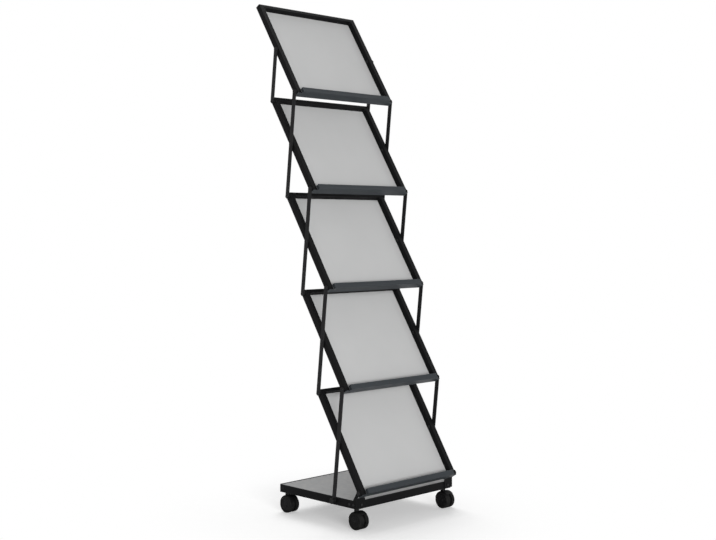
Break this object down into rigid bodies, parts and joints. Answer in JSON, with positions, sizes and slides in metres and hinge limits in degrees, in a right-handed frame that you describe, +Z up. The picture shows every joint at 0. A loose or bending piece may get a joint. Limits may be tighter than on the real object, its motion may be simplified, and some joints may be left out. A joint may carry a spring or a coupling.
{
  "type": "folding periodical display rack",
  "caption": "Folding magazine display rack: sloping ledged trays joined by lazy-tongs side links over a low rectangular base on twin-wheel castors.",
  "frame": {"origin": "on the floor, under the middle of the whole rack's outline", "axes": "+X to the right of someone who faces the trays, +Y to the back, the way the rack leans, +Z up"},
  "size_m": [0.5028, 0.5431, 1.7853],
  "materials": {
    "frame_paint": "satin black powder coat",
    "base_paint": "satin grey powder coat",
    "tray_paint": "satin light grey powder coat",
    "ledge_paint": "satin slate grey powder coat",
    "link_paint": "satin black powder coat",
    "fastener_black": "black oxide",
    "zinc_steel": "bright zinc plate",
    "knob_plastic": "fine grain",
    "washer_nylon": "smooth",
    "caster_plastic": "moulded black",
    "wheel_rubber": "smooth tread"
  },
  "bodies": {
    "base": {"base_frame": "frame_paint", "base_panel": "base_paint", "foot_bushes": "zinc_steel", "hinge_brackets": "frame_paint", "base_fasteners": "fastener_black", "caster_stems": "zinc_steel"},
    "tray_5": {"tray_5_frame": "frame_paint", "tray_5_panel": "tray_paint", "tray_5_ledge": "ledge_paint", "tray_5_pins": "fastener_black", "tray_5_washers": "washer_nylon"},
    "link_5_left": {"link_5_left": "link_paint", "foot_knob_left": "knob_plastic"},
    "link_5_right": {"link_5_right": "link_paint", "foot_knob_right": "knob_plastic"},
    "tray_4": {"tray_4_frame": "frame_paint", "tray_4_panel": "tray_paint", "tray_4_ledge": "ledge_paint", "tray_4_pins": "fastener_black", "tray_4_washers": "washer_nylon"},
    "link_4_left": {"link_4_left": "link_paint"},
    "link_4_right": {"link_4_right": "link_paint"},
    "tray_3": {"tray_3_frame": "frame_paint", "tray_3_panel": "tray_paint", "tray_3_ledge": "ledge_paint", "tray_3_pins": "fastener_black", "tray_3_washers": "washer_nylon"},
    "link_3_left": {"link_3_left": "link_paint"},
    "link_3_right": {"link_3_right": "link_paint"},
    "tray_2": {"tray_2_frame": "frame_paint", "tray_2_panel": "tray_paint", "tray_2_ledge": "ledge_paint", "tray_2_pins": "fastener_black", "tray_2_washers": "washer_nylon"},
    "link_2_left": {"link_2_left": "link_paint"},
    "link_2_right": {"link_2_right": "link_paint"},
    "tray_1": {"tray_1_frame": "frame_paint", "tray_1_panel": "tray_paint", "tray_1_ledge": "ledge_paint", "tray_1_pins": "fastener_black", "tray_1_washers": "washer_nylon"},
    "link_1_left": {"link_1_left": "link_paint"},
    "link_1_right": {"link_1_right": "link_paint"},
    "caster_front_left": {"caster_front_left_hood": "caster_plastic", "caster_front_left_axle": "zinc_steel"},
    "caster_front_left_wheel_left": {"caster_front_left_wheel_left": "wheel_rubber"},
    "caster_front_left_wheel_right": {"caster_front_left_wheel_right": "wheel_rubber"},
    "caster_front_right": {"caster_front_right_hood": "caster_plastic", "caster_front_right_axle": "zinc_steel"},
    "caster_front_right_wheel_left": {"caster_front_right_wheel_left": "wheel_rubber"},
    "caster_front_right_wheel_right": {"caster_front_right_wheel_right": "wheel_rubber"},
    "caster_back_left": {"caster_back_left_hood": "caster_plastic", "caster_back_left_axle": "zinc_steel"},
    "caster_back_left_wheel_left": {"caster_back_left_wheel_left": "wheel_rubber"},
    "caster_back_left_wheel_right": {"caster_back_left_wheel_right": "wheel_rubber"},
    "caster_back_right": {"caster_back_right_hood": "caster_plastic", "caster_back_right_axle": "zinc_steel"},
    "caster_back_right_wheel_left": {"caster_back_right_wheel_left": "wheel_rubber"},
    "caster_back_right_wheel_right": {"caster_back_right_wheel_right": "wheel_rubber"}
  },
  "joints": [
    {"name": "rack_fold", "type": "hinge", "parent": "base", "child": "tray_5", "pos_m": [0, -0.24791, 0.12518], "axis": [-1, 0, 0], "range_deg": [0, 58]},
    {"name": "link_5_left_pivot", "type": "hinge", "parent": "tray_5", "child": "link_5_left", "pos_m": [-0.2387, -0.15094, 0.28037], "axis": [1, 0, 0], "range_deg": [0, 130.5]},
    {"name": "link_5_right_pivot", "type": "hinge", "parent": "tray_5", "child": "link_5_right", "pos_m": [0.2387, -0.15094, 0.28037], "axis": [1, 0, 0], "range_deg": [0, 130.5]},
    {"name": "tray_4_pivot", "type": "hinge", "parent": "link_5_left", "child": "tray_4", "pos_m": [0, -0.16991, 0.45918], "axis": [-1, 0, 0], "range_deg": [0, 130.5]},
    {"name": "link_4_left_pivot", "type": "hinge", "parent": "tray_4", "child": "link_4_left", "pos_m": [-0.2387, -0.07294, 0.61437], "axis": [1, 0, 0], "range_deg": [0, 130.5]},
    {"name": "link_4_right_pivot", "type": "hinge", "parent": "tray_4", "child": "link_4_right", "pos_m": [0.2387, -0.07294, 0.61437], "axis": [1, 0, 0], "range_deg": [0, 130.5]},
    {"name": "tray_3_pivot", "type": "hinge", "parent": "link_4_left", "child": "tray_3", "pos_m": [0, -0.09191, 0.79318], "axis": [-1, 0, 0], "range_deg": [0, 130.5]},
    {"name": "link_3_left_pivot", "type": "hinge", "parent": "tray_3", "child": "link_3_left", "pos_m": [-0.2387, 0.00506, 0.94837], "axis": [1, 0, 0], "range_deg": [0, 130.5]},
    {"name": "link_3_right_pivot", "type": "hinge", "parent": "tray_3", "child": "link_3_right", "pos_m": [0.2387, 0.00506, 0.94837], "axis": [1, 0, 0], "range_deg": [0, 130.5]},
    {"name": "tray_2_pivot", "type": "hinge", "parent": "link_3_left", "child": "tray_2", "pos_m": [0, -0.01391, 1.12718], "axis": [-1, 0, 0], "range_deg": [0, 130.5]},
    {"name": "link_2_left_pivot", "type": "hinge", "parent": "tray_2", "child": "link_2_left", "pos_m": [-0.2387, 0.08306, 1.28237], "axis": [1, 0, 0], "range_deg": [0, 130.5]},
    {"name": "link_2_right_pivot", "type": "hinge", "parent": "tray_2", "child": "link_2_right", "pos_m": [0.2387, 0.08306, 1.28237], "axis": [1, 0, 0], "range_deg": [0, 130.5]},
    {"name": "tray_1_pivot", "type": "hinge", "parent": "link_2_left", "child": "tray_1", "pos_m": [0, 0.06409, 1.46118], "axis": [-1, 0, 0], "range_deg": [0, 130.5]},
    {"name": "link_1_left_pivot", "type": "hinge", "parent": "tray_1", "child": "link_1_left", "pos_m": [-0.2387, 0.16106, 1.61637], "axis": [1, 0, 0], "range_deg": [0, 130.5]},
    {"name": "link_1_right_pivot", "type": "hinge", "parent": "tray_1", "child": "link_1_right", "pos_m": [0.2387, 0.16106, 1.61637], "axis": [1, 0, 0], "range_deg": [0, 130.5]},
    {"name": "caster_front_left_swivel", "type": "hinge", "parent": "base", "child": "caster_front_left", "pos_m": [-0.2168, -0.21569, 0.064], "axis": [0, 0, 1], "continuous": true},
    {"name": "caster_front_left_wheel_left_spin", "type": "hinge", "parent": "caster_front_left", "child": "caster_front_left_wheel_left", "pos_m": [-0.2298, -0.22569, 0.029], "axis": [1, 0, 0], "continuous": true},
    {"name": "caster_front_left_wheel_right_spin", "type": "hinge", "parent": "caster_front_left", "child": "caster_front_left_wheel_right", "pos_m": [-0.2038, -0.22569, 0.029], "axis": [1, 0, 0], "continuous": true},
    {"name": "caster_front_right_swivel", "type": "hinge", "parent": "base", "child": "caster_front_right", "pos_m": [0.2168, -0.21569, 0.064], "axis": [0, 0, 1], "continuous": true},
    {"name": "caster_front_right_wheel_left_spin", "type": "hinge", "parent": "caster_front_right", "child": "caster_front_right_wheel_left", "pos_m": [0.2038, -0.22569, 0.029], "axis": [1, 0, 0], "continuous": true},
    {"name": "caster_front_right_wheel_right_spin", "type": "hinge", "parent": "caster_front_right", "child": "caster_front_right_wheel_right", "pos_m": [0.2298, -0.22569, 0.029], "axis": [1, 0, 0], "continuous": true},
    {"name": "caster_back_left_swivel", "type": "hinge", "parent": "base", "child": "caster_back_left", "pos_m": [-0.2168, 0.12631, 0.064], "axis": [0, 0, 1], "continuous": true},
    {"name": "caster_back_left_wheel_left_spin", "type": "hinge", "parent": "caster_back_left", "child": "caster_back_left_wheel_left", "pos_m": [-0.2298, 0.11631, 0.029], "axis": [1, 0, 0], "continuous": true},
    {"name": "caster_back_left_wheel_right_spin", "type": "hinge", "parent": "caster_back_left", "child": "caster_back_left_wheel_right", "pos_m": [-0.2038, 0.11631, 0.029], "axis": [1, 0, 0], "continuous": true},
    {"name": "caster_back_right_swivel", "type": "hinge", "parent": "base", "child": "caster_back_right", "pos_m": [0.2168, 0.12631, 0.064], "axis": [0, 0, 1], "continuous": true},
    {"name": "caster_back_right_wheel_left_spin", "type": "hinge", "parent": "caster_back_right", "child": "caster_back_right_wheel_left", "pos_m": [0.2038, 0.11631, 0.029], "axis": [1, 0, 0], "continuous": true},
    {"name": "caster_back_right_wheel_right_spin", "type": "hinge", "parent": "caster_back_right", "child": "caster_back_right_wheel_right", "pos_m": [0.2298, 0.11631, 0.029], "axis": [1, 0, 0], "continuous": true}
  ],
  "couplings": [
    {"joint": "link_5_left_pivot", "follows": "rack_fold", "ratio": 2.248},
    {"joint": "link_5_right_pivot", "follows": "rack_fold", "ratio": 2.248},
    {"joint": "tray_4_pivot", "follows": "rack_fold", "ratio": 2.248},
    {"joint": "link_4_left_pivot", "follows": "rack_fold", "ratio": 2.248},
    {"joint": "link_4_right_pivot", "follows": "rack_fold", "ratio": 2.248},
    {"joint": "tray_3_pivot", "follows": "rack_fold", "ratio": 2.248},
    {"joint": "link_3_left_pivot", "follows": "rack_fold", "ratio": 2.248},
    {"joint": "link_3_right_pivot", "follows": "rack_fold", "ratio": 2.248},
    {"joint": "tray_2_pivot", "follows": "rack_fold", "ratio": 2.248},
    {"joint": "link_2_left_pivot", "follows": "rack_fold", "ratio": 2.248},
    {"joint": "link_2_right_pivot", "follows": "rack_fold", "ratio": 2.248},
    {"joint": "tray_1_pivot", "follows": "rack_fold", "ratio": 2.248},
    {"joint": "link_1_left_pivot", "follows": "rack_fold", "ratio": 2.248},
    {"joint": "link_1_right_pivot", "follows": "rack_fold", "ratio": 2.248}
  ]
}
